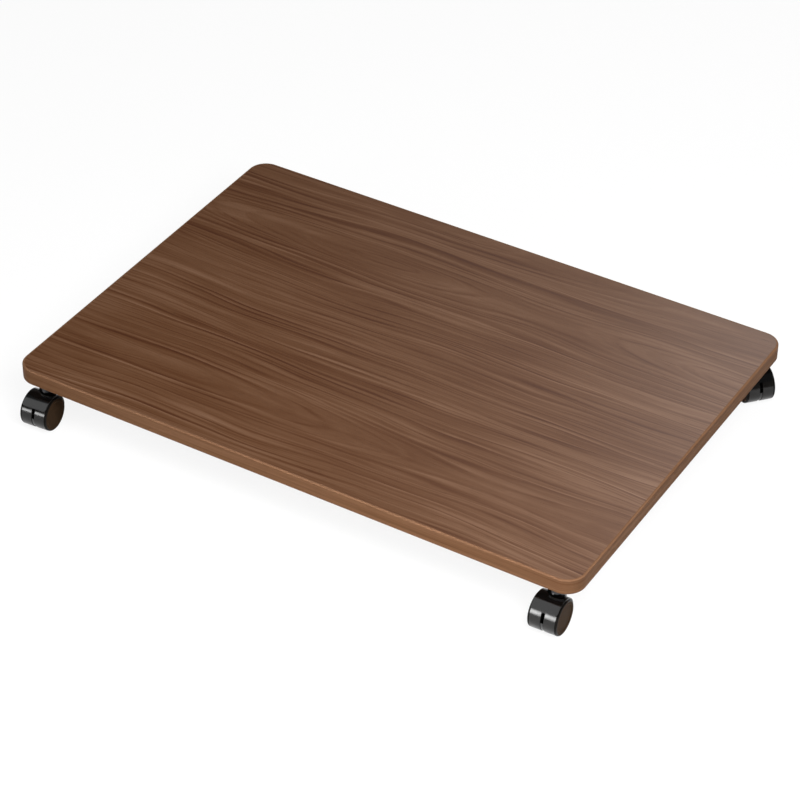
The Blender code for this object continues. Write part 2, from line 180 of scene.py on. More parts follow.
def heartTone(tree, along, across, number, heart, fray):
    centre, depth, tilt, bends = heart
    seed = 7.3 * number
    level = calc(tree, "MULTIPLY_ADD", along, tilt, depth)
    for rise, middle, softness in bends:
        far = calc(tree, "SUBTRACT", along, middle)
        reach = calc(tree, "SQRT", calc(tree, "MULTIPLY_ADD", far, far, softness ** 2))
        level = calc(tree, "MULTIPLY_ADD", reach, rise, level)
    level = calc(tree, "ADD", level, fray)
    side = calc(tree, "SUBTRACT", across, centre)
    ring = calc(tree, "SQRT", calc(tree, "MULTIPLY_ADD", side, side, calc(tree, "MULTIPLY", level, level)))
    lean = calc(tree, "MAXIMUM", calc(tree, "DIVIDE", calc(tree, "ABSOLUTE", side), ring), 0.15)
    driftLength, driftBreadth, uneven = walnutSettings["ringDrift"]
    showsLength, showsBreadth = walnutSettings["ringShows"]
    tone = 0.5
    for n, (width, sharpness, strength) in enumerate(walnutSettings["rings"]):
        sharpness = calc(tree, "DIVIDE", sharpness, lean)   # lines stay thin where they turn back at an arch
        drift = stretched(tree, along, ring, driftLength, width * driftBreadth, seed + n, detail=2.0)
        count = calc(tree, "MULTIPLY_ADD", drift, uneven, calc(tree, "DIVIDE", ring, width))
        phase = calc(tree, "FRACT", count)
        late = calc(tree, "POWER", phase, sharpness)   # late wood darkens slowly and stops sooner than it came
        late = calc(tree, "MULTIPLY", late, spread(tree, phase, 1.0, walnutSettings["lateEnd"]))
        early = calc(tree, "POWER", calc(tree, "SUBTRACT", 1.0, phase), sharpness)
        early = calc(tree, "MULTIPLY", early, spread(tree, phase, 0.0, walnutSettings["earlyStart"]))
        long, broad = showsLength * width, showsBreadth * width
        shows = stretched(tree, along, ring, long, broad, seed + n + 20.0, detail=2.0)
        shows = calc(tree, "MULTIPLY", spread(tree, shows, 0.36, 0.68), strength)
        line = calc(tree, "SUBTRACT", calc(tree, "MULTIPLY", early, walnutSettings["early"]), late)
        tone = calc(tree, "MULTIPLY_ADD", line, shows, tone)
    lengthways, crossways, strength = walnutSettings["grain"]
    grain = stretched(tree, along, ring, lengthways, crossways, seed + 40.0, detail=4.0, roughness=0.64)
    return calc(tree, "MULTIPLY_ADD", grain, strength, calc(tree, "SUBTRACT", tone, strength / 2))


def pores(tree, along, across, seed):
    broad = stretched(tree, along, across, 9.0, 0.42, seed, detail=1.0)
    patch = stretched(tree, along, across, 60.0, 7.0, seed + 2.0)
    return calc(tree, "MULTIPLY", spread(tree, broad, 0.60, 0.76), spread(tree, patch, 0.34, 0.66, 0.25, 1.0))


def fibre(tree, along, across, seed):
    return stretched(tree, along, across, 34.0, 0.55, seed, detail=2.0, roughness=0.6)


# open pores are rougher and lie a little deeper than the wood round them
def woodSurface(tree, surface, settings, colour, flecks, threads):
    low, high = settings["roughness"]
    worn = calc(tree, "MULTIPLY_ADD", flecks, 0.5, threads)
    rough = spread(tree, worn, 0.25, 1.0, low, high, "LINEAR")
    relief = calc(tree, "MULTIPLY_ADD", flecks, -0.8, calc(tree, "MULTIPLY", threads, 0.4))
    surface.inputs["Specular IOR Level"].default_value = settings["specular"]
    feed(tree, surface, colour=colour, roughness=rough, normal=bump(tree, relief, 0.25, 0.05 * mm))


def walnutTop():
    finish, tree, surface = newFinish("walnutPrint")
    along, flat = inMillimetres(tree, objectSpot(tree))
    across = flat
    # the figure sways as a whole, then line by line
    for n, (lengthways, crossways, size) in enumerate(walnutSettings["wander"]):
        shift = stretched(tree, along, flat, lengthways, crossways, 2.0 + n, detail=1.0)
        across = calc(tree, "MULTIPLY_ADD", calc(tree, "SUBTRACT", shift, 0.5), 2.0 * size, across)
    lengthways, crossways, size = walnutSettings["fray"]
    fray = stretched(tree, along, flat, lengthways, crossways, 11.0, detail=2.0, roughness=0.6)
    fray = calc(tree, "MULTIPLY_ADD", fray, 2.0 * size, -size)
    tones = [heartTone(tree, along, across, n, heart, fray) for n, heart in enumerate(walnutSettings["hearts"])]
    tone = tones[0]
    for other, (border, softness) in zip(tones[1:], walnutSettings["borders"]):
        over = spread(tree, across, border - softness, border + softness)
        tone = blendValue(tree, over, tone, other)
    for lengthways, crossways, strength in walnutSettings["streaks"]:
        streak = stretched(tree, along, across, lengthways, crossways, crossways, detail=2.0)
        tone = calc(tree, "MULTIPLY_ADD", streak, strength, calc(tree, "SUBTRACT", tone, strength / 2))
    threads = fibre(tree, along, across, 1.0)
    strength = walnutSettings["threads"]
    tone = calc(tree, "MULTIPLY_ADD", threads, strength, calc(tree, "SUBTRACT", tone, strength / 2))
    contrast = walnutSettings["contrast"]
    tone = calc(tree, "MULTIPLY_ADD", tone, contrast, 0.5 - 0.5 * contrast)
    colour = ramp(tree, tone, walnutSettings["stops"])
    flecks = pores(tree, along, across, 3.0)
    strength, dark = walnutSettings["flecks"]
    colour = blendColour(tree, calc(tree, "MULTIPLY", flecks, strength), colour, dark)
    woodSurface(tree, surface, walnutSettings, colour, flecks, threads)
    return finish


# edge band: the same wood, warmer, with its grain along the edge

bandSettings = {
    "stops": (
        (0.0, (0.0385, 0.0147, 0.0055)),
        (0.35, (0.0703, 0.0301, 0.0126)),
        (0.62, (0.1020, 0.0490, 0.0241)),
        (1.0, (0.1473, 0.0779, 0.0437)),
    ),
    "drift": (130.0, 20.0, 9.0),      # length, breadth and size of the grain's sway (mm)
    "broad": (260.0, 5.0, 0.85),      # length, breadth (mm) and strength
    "lines": (120.0, 1.3, 0.60),      # the same way
    "threads": 0.30,
    "flecks": (0.4, (0.024, 0.0115, 0.0055, 1.0)),
    "wearAndHighlight": (0.36, (0.24, 0.130, 0.076, 1.0)),   # painted highlight: how much paler the band is painted along its upward-facing upper arris
    "roughness": (0.40, 0.54),
    "specular": 0.012,
}


def walnutBand():
    finish, tree, surface = newFinish("walnutEdge")
    along, flat = inMillimetres(tree, addNode(tree, "ShaderNodeUVMap", uv_map="bandMap").outputs[0])
    lengthways, crossways, size = bandSettings["drift"]
    drift = stretched(tree, along, flat, lengthways, crossways, 1.0, detail=1.0)
    across = calc(tree, "MULTIPLY_ADD", calc(tree, "SUBTRACT", drift, 0.5), size, flat)
    lengthways, crossways, strength = bandSettings["broad"]
    broad = stretched(tree, along, across, lengthways, crossways, 2.0, detail=2.0)
    tone = calc(tree, "MULTIPLY_ADD", broad, strength, -0.20)
    lengthways, crossways, strength = bandSettings["lines"]
    lines = stretched(tree, along, across, lengthways, crossways, 5.0, detail=3.0, roughness=0.6)
    tone = calc(tree, "MULTIPLY_ADD", lines, strength, tone)
    threads = fibre(tree, along, across, 8.0)
    tone = calc(tree, "MULTIPLY_ADD", threads, bandSettings["threads"], calc(tree, "SUBTRACT", tone, 0.02))
    colour = ramp(tree, tone, bandSettings["stops"])
    flecks = pores(tree, along, across, 12.0)
    strength, dark = bandSettings["flecks"]
    colour = blendColour(tree, calc(tree, "MULTIPLY", flecks, strength), colour, dark)
    # painted highlight: faces of the band that turn upwards, its upper arris, are blended towards a paler colour
    normal = addNode(tree, "ShaderNodeTexCoord").outputs["Normal"]
    paintedHighlightFacing = addNode(tree, "ShaderNodeSeparateXYZ", {0: normal}).outputs[2]
    strength, pale = bandSettings["wearAndHighlight"]
    colour = blendColour(tree, spread(tree, paintedHighlightFacing, 0.10, 0.55, 0.0, strength), colour, pale)
    woodSurface(tree, surface, bandSettings, colour, flecks, threads)
    return finish


# sheet under the board and the chipboard between

def backingSheet():
    finish, tree, surface = newFinish("backingPaper")
    along, across = inMillimetres(tree, objectSpot(tree))
    tone = stretched(tree, along, across, 180.0, 7.0, 3.0, detail=4.0, roughness=0.6)
    threads = fibre(tree, along, across, 5.0)
    tone = calc(tree, "MULTIPLY_ADD", threads, 0.4, calc(tree, "SUBTRACT", tone, 0.2))
    stops = ((0.2, (0.055, 0.026, 0.012)), (0.5, (0.078, 0.038, 0.018)), (0.85, (0.105, 0.054, 0.027)))
    scuff = stretched(tree, along, across, 40.0, 28.0, 1.0, detail=4.0)
    wearAndHighlight = spread(tree, scuff, 0.56, 0.80, 0.0, 0.25)
    colour = blendColour(tree, wearAndHighlight, ramp(tree, tone, stops), (0.17, 0.11, 0.07, 1.0))
    rough = spread(tree, scuff, 0.3, 0.7, 0.46, 0.62, "LINEAR")
    feed(tree, surface, colour=colour, roughness=rough, normal=bump(tree, threads, 0.2, 0.04 * mm))
    return finish


def chipboard():
    finish, tree, surface = newFinish("chipboard")
    spot = objectSpot(tree)
    chips = addNode(tree, "ShaderNodeTexVoronoi", {"Vector": spot, "Scale": 420.0, "Randomness": 1.0})
    dust = noise(tree, spot, scale=900.0, detail=3.0)
    shade = addNode(tree, "ShaderNodeSeparateColor", {0: chips.outputs["Color"]}).outputs[0]
    tone = blendValue(tree, 0.4, shade, dust)
    stops = ((0.1, (0.26, 0.17, 0.09)), (0.5, (0.45, 0.32, 0.18)), (0.9, (0.60, 0.46, 0.28)))
    surface.inputs["Roughness"].default_value = 0.9
    relief = bump(tree, chips.outputs["Distance"], 0.4, 0.3 * mm)
    feed(tree, surface, colour=ramp(tree, tone, stops), normal=relief)
    return finish


# black mouldings of the casters
# patterns follow each piece's own "spot", its place before it is set under the board

def spotOf(tree):
    node = addNode(tree, "ShaderNodeAttribute", attribute_name="spot", attribute_type="GEOMETRY")
    return node.outputs["Vector"]


mouldingSettings = {          # dark and pale colour, roughness, gloss, grain, marked by rolling
    "hood": ("glossyHood", (0.0008, 0.0008, 0.0009), (0.0018, 0.0018, 0.0018), (0.08, 0.16), 0.5, 0.06, False),
    "tread": ("glossyTread", (0.0030, 0.0027, 0.0024), (0.0062, 0.0056, 0.0050), (0.12, 0.22), 0.30, 0.08, True),
    "rim": ("satinRim", (0.0026, 0.0021, 0.0017), (0.0056, 0.0045, 0.0036), (0.22, 0.34), 0.07, 0.10, True),
    # face: the brown is partly the disc's own colour and partly a painted reflection of a warm floor, with the
    # face's gloss nearly taken away
    "face": ("satinFace", (0.0192, 0.0106, 0.0052), (0.0345, 0.0198, 0.0102), (0.32, 0.48), 0.008, 0.20, True),
}


def blackMoulding(name, dark, pale, roughness, specular, grain, ringed):
    finish, tree, surface = newFinish(name)
    spot = spotOf(tree)
    haze = noise(tree, spot, scale=160.0, detail=3.0)
    speck = noise(tree, spot, scale=2600.0, detail=2.0)
    tone = calc(tree, "MULTIPLY_ADD", speck, 0.35, calc(tree, "MULTIPLY", haze, 0.65))
    colour = ramp(tree, tone, ((0.25, dark), (0.75, pale)))
    marks = noise(tree, spot, scale=420.0, detail=4.0, roughness=0.65)
    if ringed:  # fine lines from rolling run round the tread
        place = addNode(tree, "ShaderNodeSeparateXYZ", {0: spot})
        squeeze = ((2, 5200.0), (0, 60.0), (1, 60.0))   # close together along the axle, long round it
        around = [calc(tree, "MULTIPLY", place.outputs[n], scale) for n, scale in squeeze]
        marks = blendValue(tree, 0.6, marks, noise(tree, vectorOf(tree, *around), detail=2.0))
    low, high = roughness
    worn = calc(tree, "MULTIPLY_ADD", haze, 0.5, calc(tree, "MULTIPLY", marks, 0.5))
    rough = spread(tree, worn, 0.32, 0.68, low, high, "LINEAR")
    surface.inputs["Specular IOR Level"].default_value = specular
    relief = calc(tree, "MULTIPLY_ADD", speck, 0.6, calc(tree, "MULTIPLY", marks, 0.4))
    feed(tree, surface, colour=colour, roughness=rough, normal=bump(tree, relief, grain, 0.02 * mm))
    return finish


# small metal and nylon fittings

def zincPlate(name, dark, pale, roughness):
    finish, tree, surface = newFinish(name)
    spot = objectSpot(tree)
    spangle = addNode(tree, "ShaderNodeTexVoronoi", {"Vector": spot, "Scale": 900.0})
    cloud = noise(tree, spot, scale=350.0, detail=4.0)
    grey = addNode(tree, "ShaderNodeSeparateColor", {0: spangle.outputs["Color"]}).outputs[0]
    tone = calc(tree, "MULTIPLY_ADD", grey, 0.35, calc(tree, "MULTIPLY", cloud, 0.65))
    low, high = roughness
    surface.inputs["Metallic"].default_value = 1.0
    rough = spread(tree, cloud, 0.3, 0.7, low, high, "LINEAR")
    colour = ramp(tree, tone, ((0.2, dark), (0.8, pale)))
    feed(tree, surface, colour=colour, roughness=rough, normal=bump(tree, cloud, 0.12, 0.03 * mm))
    return finish


def nylonWasher():
    finish, tree, surface = newFinish("naturalNylon")
    spot = objectSpot(tree)
    grease = noise(tree, spot, scale=300.0, detail=4.0)
    stops = ((0.35, (0.70, 0.68, 0.61)), (0.60, (0.60, 0.57, 0.48)), (0.75, (0.38, 0.34, 0.27)))
    colour = ramp(tree, grease, stops)
    rough = spread(tree, grease, 0.3, 0.75, 0.48, 0.30, "LINEAR")
    grain = noise(tree, spot, scale=2200.0)
    feed(tree, surface, colour=colour, roughness=rough, normal=bump(tree, grain, 0.15, 0.02 * mm))
    return finish


finishes = {
    "walnutTop": walnutTop(),
    "walnutBand": walnutBand(),
    "backing": backingSheet(),
    "chipboard": chipboard(),
    **{piece: blackMoulding(*values) for piece, values in mouldingSettings.items()},
    "zinc": zincPlate("zincPlate", (0.42, 0.43, 0.44), (0.68, 0.69, 0.70), (0.22, 0.40)),
    "spring": zincPlate("springSteel", (0.06, 0.06, 0.065), (0.16, 0.16, 0.17), (0.28, 0.45)),
    "nylon": nylonWasher(),
}
print("finishes:", ", ".join(sorted(finishes)))


# shared mesh work

def tidyMesh(mesh):
    bm = bmesh.new()
    bm.from_mesh(mesh)
    bmesh.ops.remove_doubles(bm, verts=bm.verts, dist=0.001 * mm)
    bmesh.ops.recalc_face_normals(bm, faces=bm.faces)
    bm.to_mesh(mesh)
    bm.free()
    return mesh


def meshFrom(bm, name):
    bmesh.ops.recalc_face_normals(bm, faces=bm.faces)
    mesh = bpy.data.meshes.new(name)
    bm.to_mesh(mesh)
    bm.free()
    return mesh


def asMesh(holder):
    seen = holder.evaluated_get(bpy.context.evaluated_depsgraph_get())
    mesh = bpy.data.meshes.new_from_object(seen)
    bpy.data.objects.remove(holder, do_unlink=True)
    return mesh


def addPiece(name, mesh, sharp=35.0):
    mesh.shade_smooth()
    mesh.set_sharp_from_angle(angle=math.radians(sharp))
    holder = bpy.data.objects.new("holder", mesh)
    scene.collection.objects.link(holder)
    even = holder.modifiers.new("even", "WEIGHTED_NORMAL")   # flats stay flat beside their roundings
    even.keep_sharp = True
    piece = bpy.data.objects.new(name, asMesh(holder))
    piece.data.name = name
    scene.collection.objects.link(piece)
    return piece


def polyCurve(points, closed=False):
    line = bpy.data.curves.new("line", "CURVE")
    line.dimensions = "3D"
    run = line.splines.new("POLY")
    run.points.add(len(points) - 1)
    for point, place in zip(run.points, points):
        point.co = (*place, 1.0)
    run.use_cyclic_u = closed
    holder = bpy.data.objects.new("line", line)
    scene.collection.objects.link(holder)
    return holder


def newTree(name, inputs):
    tree = bpy.data.node_groups.new(name, "GeometryNodeTree")
    face = tree.interface
    face.new_socket("Geometry", in_out="INPUT", socket_type="NodeSocketGeometry")
    for label, kind in inputs:
        face.new_socket(label, in_out="INPUT", socket_type="NodeSocket" + kind)
    face.new_socket("Geometry", in_out="OUTPUT", socket_type="NodeSocketGeometry")
    return tree, tree.nodes.new("NodeGroupInput").outputs, tree.nodes.new("NodeGroupOutput").inputs


def runTree(holder, tree, values):
    change = holder.modifiers.new("shape", "NODES")
    change.node_group = tree
    for item in tree.interface.items_tree:
        if item.in_out == "INPUT" and item.name in values:
            change[item.identifier] = values[item.name]
    return asMesh(holder)


def keepValue(tree, geometry, name, value, kind="FLOAT", domain="POINT"):
    values = {"Geometry": geometry, "Name": name}
    node = addNode(tree, "GeometryNodeStoreNamedAttribute", values, data_type=kind, domain=domain)
    tree.links.new(value, node.inputs["Value"])
    return node.outputs[0]


def readValue(tree, name):
    return addNode(tree, "GeometryNodeInputNamedAttribute", {"Name": name}, data_type="FLOAT").outputs[0]


def fillet(tree, curve, count, radius):
    values = {"Curve": curve, "Count": count, "Radius": radius}
    return addNode(tree, "GeometryNodeFilletCurve", values, mode="POLY").outputs[0]


def sweep(tree, path, profile):
    path = addNode(tree, "GeometryNodeSetCurveNormal", {"Curve": path}, mode="Z_UP").outputs[0]
    return addNode(tree, "GeometryNodeCurveToMesh", {"Curve": path, "Profile Curve": profile}).outputs[0]


def welded(tree, geometry, distance):
    values = {"Geometry": geometry, "Distance": distance}
    return addNode(tree, "GeometryNodeMergeByDistance", values).outputs[0]


def endTree(tree, geometry, given, result):
    real = addNode(tree, "GeometryNodeRealizeInstances", {"Geometry": geometry})
    done = addNode(tree, "GeometryNodeSetMaterial", {"Geometry": real.outputs[0], "Material": given["Finish"]})
    tree.links.new(done.outputs[0], result["Geometry"])
    return tree


# edge band: a rounded strip swept round the board, its ends butted at the back

boardSettings = {
    "cornerRadius": 19.0 * mm,
    "cornerSteps": 26,
    "bandThickness": 2.0 * mm,
    "arrisRadius": 1.5 * mm,
    "arrisSteps": 6,
    "sheetThickness": 0.8 * mm,
    "jointLine": 0.04 * mm,
    "sheetEdge": 0.08 * mm,
    "holeRadius": 5.5 * mm,
    "holeSteps": 40,
}
boardLow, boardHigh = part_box("edge_band")


def bandTree():
    labels = (
        ("Corner Radius", "Float"),
        ("Corner Steps", "Int"),
        ("Band Thickness", "Float"),
        ("Board Thickness", "Float"),
        ("Arris Radius", "Float"),
        ("Arris Steps", "Int"),
        ("Finish", "Material"),
    )
    tree, given, result = newTree("sweptBand", labels)
    length = addNode(tree, "GeometryNodeSplineParameter").outputs["Length"]
    path = fillet(tree, given["Geometry"], given["Corner Steps"], given["Corner Radius"])
    path = keepValue(tree, path, "along", length)
    sizes = {"Width": given["Band Thickness"], "Height": given["Board Thickness"]}
    strip = addNode(tree, "GeometryNodeCurvePrimitiveQuadrilateral", sizes, mode="RECTANGLE").outputs[0]
    place = addNode(tree, "GeometryNodeInputPosition").outputs[0]
    sideways = addNode(tree, "ShaderNodeSeparateXYZ", {0: place}).outputs[0]
    outside = calc(tree, "GREATER_THAN", sideways, 0.0)  # only the two outer arrises are rounded
    radius = calc(tree, "MULTIPLY", outside, given["Arris Radius"])
    strip = fillet(tree, strip, given["Arris Steps"], radius)
    strip = keepValue(tree, strip, "round", length)
    inward = vectorOf(tree, calc(tree, "MULTIPLY", given["Band Thickness"], -0.5))
    strip = addNode(tree, "GeometryNodeTransform", {"Geometry": strip, "Translation": inward}).outputs[0]
    swept = sweep(tree, path, strip)
    spot = vectorOf(tree, readValue(tree, "along"), readValue(tree, "round"))
    swept = keepValue(tree, swept, "bandMap", spot, "FLOAT2", "CORNER")
    return endTree(tree, welded(tree, swept, 0.01 * mm), given, result)


def makeBand():
    x, y = boardHigh.x, boardHigh.y
    z = (boardLow.z + boardHigh.z) / 2
    route = [(0.0, y, z), (-x, y, z), (-x, -y, z), (x, -y, z), (x, y, z), (0.0, y, z)]
    values = {
        "Corner Radius": boardSettings["cornerRadius"],
        "Corner Steps": boardSettings["cornerSteps"],
        "Band Thickness": boardSettings["bandThickness"],
        "Board Thickness": boardHigh.z - boardLow.z,
        "Arris Radius": boardSettings["arrisRadius"],
        "Arris Steps": boardSettings["arrisSteps"],
        "Finish": finishes["walnutBand"],
    }
    mesh = runTree(polyCurve(route), bandTree(), values)
    band = addPiece("walnut_edge_band", tidyMesh(mesh))
    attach(band, "board")
    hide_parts("edge_band")


def roundedOutline(inset, steps):
    radius = boardSettings["cornerRadius"] - inset
    points = []
    for quarter, (sx, sy) in enumerate(((1, 1), (-1, 1), (-1, -1), (1, -1))):
        x = sx * (boardHigh.x - inset - radius)
        y = sy * (boardHigh.y - inset - radius)
        for step in range(steps + 1):
            angle = (quarter + step / steps) * math.pi / 2
            points.append((x + radius * math.cos(angle), y + radius * math.sin(angle)))
    return points


def sheetMesh(low, high, holes, topEdge, bottomEdge):
    inset = boardSettings["bandThickness"] + boardSettings["jointLine"]
    edge = boardSettings["sheetEdge"]
    steps = boardSettings["cornerSteps"]
    levels = [(inset + edge * bottomEdge, low)]
    if bottomEdge:
        levels.append((inset, low + edge))
    if topEdge:
        levels.append((inset, high - edge))
    levels.append((inset + edge * topEdge, high))
    bm = bmesh.new()
    loops = [[bm.verts.new((x, y, z)) for x, y in roundedOutline(shift, steps)] for shift, z in levels]
    rims = [(loops[0], loops[-1])]
    for one, other in zip(loops, loops[1:]):
        for n in range(len(one)):
            bm.faces.new((one[n - 1], one[n], other[n], other[n - 1]))
    radius, turns = boardSettings["holeRadius"], boardSettings["holeSteps"]
    angles = [2 * math.pi * n / turns for n in range(turns)]
    for x, y in holes:
        circle = [(x + radius * math.cos(a), y + radius * math.sin(a)) for a in angles]
        rings = [[bm.verts.new((*spot, z)) for spot in circle] for z in (low, high)]
        rims.append(rings)
        for n in range(turns):
            bm.faces.new((rings[1][n - 1], rings[1][n], rings[0][n], rings[0][n - 1]))
    for level in (0, 1):
        edges = []
        for rim in rims:
            loop = rim[level]
            edges += [bm.edges.get((loop[n - 1], loop[n])) for n in range(len(loop))]
        if holes:
            bmesh.ops.triangle_fill(bm, edges=edges, use_beauty=True, use_dissolve=False)
        else:
            bm.faces.new(rims[0][level])
    return meshFrom(bm, "sheet")


def makeSheets():
    thick = boardSettings["sheetThickness"]
    spots = [joints[corner + "_swivel"]["pos_m"][:2] for corner in corners]
    top = (boardHigh.z - thick, boardHigh.z, (), 1, 0)           # low, high, holes, soft edges above and below
    bottom = (boardLow.z, boardLow.z + thick, spots, 0, 1)
    plans = (
        ("walnut_top_sheet", top, "walnutTop", "top_laminate", "walnut_top"),
        ("backing_sheet", bottom, "backing", "bottom_laminate", "backing_sheet"),
    )
    for name, shape, finish, node, slot in plans:
        mesh = sheetMesh(*shape)
        mesh.materials.append(finishes[finish])
        sheet = addPiece(name, mesh)
        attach(sheet, "board")
        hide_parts(node)


makeBand()
makeSheets()
frame["nodes"]["board_core"].data.materials[0] = finishes["chipboard"]
print("board: edge band and sheets")


# turned pieces: a half outline swept round a small circle

turnSettings = {"hub": 1.0 * mm, "steps": 96, "smallSteps": 56, "boreSteps": 48, "roomSteps": 128}


def turnTree():
    tree, given, result = newTree("turnedPiece", (("Hub", "Float"), ("Steps", "Int"), ("Finish", "Material")))
    values = {"Resolution": given["Steps"], "Radius": given["Hub"]}
    path = addNode(tree, "GeometryNodeCurvePrimitiveCircle", values, mode="RADIUS").outputs[0]
    joined = welded(tree, sweep(tree, path, given["Geometry"]), 0.001 * mm)
    place = addNode(tree, "GeometryNodeInputPosition").outputs[0]
    return endTree(tree, keepValue(tree, joined, "spot", place, "FLOAT_VECTOR"), given, result)


turned = turnTree()


def turnedMesh(outline, finish, steps, closed=False):
    hub = turnSettings["hub"]
    line = polyCurve([(radius - hub, -height, 0.0) for radius, height in outline], closed)
    return tidyMesh(runTree(line, turned, {"Hub": hub, "Steps": steps, "Finish": finishes[finish]}))


def rounded(outline, corner, radius, steps=5):
    before, at, after = (Vector(outline[corner + n]) for n in (-1, 0, 1))
    into, out = (before - at).normalized(), (after - at).normalized()
    half = into.angle(out) / 2
    reach = radius / math.tan(half)
    centre = at + (into + out).normalized() * radius / math.sin(half)
    first, last = at + into * reach - centre, at + out * reach - centre
    swing = first.angle_signed(last)
    points = []
    for step in range(steps + 1):
        angle = swing * step / steps
        points.append((centre + Matrix.Rotation(-angle, 2) @ first).to_tuple())
    return points


def softened(outline, radii):
    points = []
    for n, point in enumerate(outline):
        points += rounded(outline, n, radii[n]) if n in radii else [point]
    return points


# caster sizes, all measured from the swivel axis on the floor with the wheels trailing towards -Y

casterSettings = {
    "trail": 12.0 * mm,
    "wheelRadius": 17.0 * mm,
    "halfTrack": 14.45 * mm,
    "wheelGap": 3.0 * mm,
    "treadWidth": 10.9 * mm,
    "groove": (0.4 * mm, 0.5 * mm),
    "rimThickness": 2.8 * mm,
    "rimRound": 1.45 * mm,
    "rimDrop": 0.06 * mm,
    "faceRing": 2.4 * mm,
    "faceRecess": 0.5 * mm,
    "faceBevel": 0.7 * mm,
    "discThickness": 3.5 * mm,
    "hubRadius": 5.3 * mm,
    "axleBore": 2.8 * mm,
    "axleCover": 2.1 * mm,
    "axleBoss": (4.5 * mm, 5.2 * mm),
    "runningGap": 0.3 * mm,
    "hoodWidth": 26.2 * mm,
    "hoodGap": 0.4 * mm,
    "hoodWall": 1.0 * mm,
    "lipAngle": 38.0,
    "rearAngle": 180.0,
    "lipCorner": 3.5 * mm,
    "hoodEdge": 0.3 * mm,
    "bossRadius": 6.5 * mm,
    "bossBase": 8.5 * mm,
    "bossFlare": 6.0 * mm,
    "bossTop": 40.3 * mm,
    "webThickness": 2.2 * mm,
    "webAngles": (76.0, 172.0),
    "guardAngles": (-60.0, 2.0),
    "guardRecess": 0.5 * mm,
    "socketRadius": 4.3 * mm,
    "socketDepth": 6.0 * mm,
    "arcSteps": 56,
}


def wheelOutline():
    s = casterSettings
    outer = s["halfTrack"]
    face = outer - s["faceRecess"]
    inner = s["wheelGap"] / 2
    treadEnd = inner + s["treadWidth"]
    grooveEnd = treadEnd + s["groove"][0]
    radius = s["wheelRadius"]
    rim = radius - s["rimDrop"]
    ringOuter = rim - s["rimRound"]
    ringInner = ringOuter - s["faceRing"]
    rimInner = radius - s["rimThickness"]
    hubFace = s["axleBoss"][1] / 2 + s["runningGap"]
    boreEnd = face - s["axleCover"]
    disc = face - s["discThickness"]
    outline = [
        (0.0, face),
        (ringInner - s["faceBevel"], face),
        (ringInner, outer),
        (rim, outer),
        (rim, grooveEnd),
        (radius - s["groove"][1], grooveEnd),
        (radius - s["groove"][1], treadEnd),
        (radius, treadEnd),
        (radius, inner),
        (rimInner, inner),
        (rimInner, disc),
        (s["hubRadius"], disc),
        (s["hubRadius"], hubFace),
        (s["axleBore"], hubFace),
        (s["axleBore"], boreEnd),
        (0.0, boreEnd),
    ]
    # corner of the outline and its radius (mm)
    softness = {1: 0.25, 2: 0.25, 4: 0.08, 7: 0.08, 8: 0.4, 9: 0.2, 10: 0.4, 11: 0.5, 12: 0.2}
    radii = {corner: size * mm for corner, size in softness.items()}
    radii[3] = s["rimRound"]
    return softened(outline, radii), treadEnd + s["groove"][0] / 2, ringOuter


def wheelMesh():
    outline, faceStart, faceEdge = wheelOutline()
    mesh = turnedMesh(outline, "tread", turnSettings["steps"])
    mesh.materials.append(finishes["rim"])
    mesh.materials.append(finishes["face"])
    for polygon in mesh.polygons:
        if polygon.center.z > faceStart:
            polygon.material_index = 2 if polygon.center.xy.length < faceEdge else 1
    mesh.transform(Matrix.Rotation(math.pi / 2, 4, "Y"))
    return mesh


def hoodStrip():
    s = casterSettings
    half = s["hoodWidth"] / 2
    corner = s["lipCorner"]
    edge = s["hoodEdge"]
    outer = s["wheelRadius"] + s["hoodGap"] + s["hoodWall"]
    inner = s["wheelRadius"] + s["hoodGap"] - s["hoodWall"]  # cut back below to the wheels' room
    few, many = 4, 12         # columns over the soft edge, then round the lip's corner
    insets = [edge * (1 - math.cos(math.pi / 2 * n / few)) for n in range(few + 1)]
    insets += [corner * (1 - math.cos(math.pi / 2 * n / many)) for n in range(few, many + 1)]
    columns = []
    for inset in insets:
        rise = corner - math.sqrt(max(corner ** 2 - (corner - inset) ** 2, 0.0))
        drop = edge - math.sqrt(max(edge ** 2 - max(edge - inset, 0.0) ** 2, 0.0))
        columns.append((inset - half, rise / outer, outer - drop))
    columns += [(-x, rise, radius) for x, rise, radius in reversed(columns)]
    bm = bmesh.new()
    skins = []
    steps = s["arcSteps"]
    rear = math.radians(s["rearAngle"])
    for x, rise, radius in columns:
        start = math.radians(s["lipAngle"]) + rise
        angles = [start + (rear - start) * n / steps for n in range(steps + 1)]
        over = [bm.verts.new((x, -radius * math.cos(a), radius * math.sin(a))) for a in angles]
        under = [bm.verts.new((x, -inner * math.cos(a), inner * math.sin(a))) for a in angles]
        skins.append(over + under[::-1])
    around = len(skins[0])
    for one, other in zip(skins, skins[1:]):
        for n in range(around):
            m = (n + 1) % around
            bm.faces.new((one[n], one[m], other[m], other[n]))
    for side in (skins[0], skins[-1]):
        for n in range(steps):
            bm.faces.new((side[n], side[n + 1], side[around - 2 - n], side[around - 1 - n]))
    mesh = meshFrom(bm, "hood")
    mesh.transform(axleFrame())
    return mesh


def axleFrame():
    return Matrix.Translation((0.0, -casterSettings["trail"], casterSettings["wheelRadius"]))


def rod(radius, low, high, steps, matrix):
    mesh = turnedMesh([(0.0, high), (radius, high), (radius, low), (0.0, low)], "hood", steps)
    mesh.transform(matrix)
    return mesh


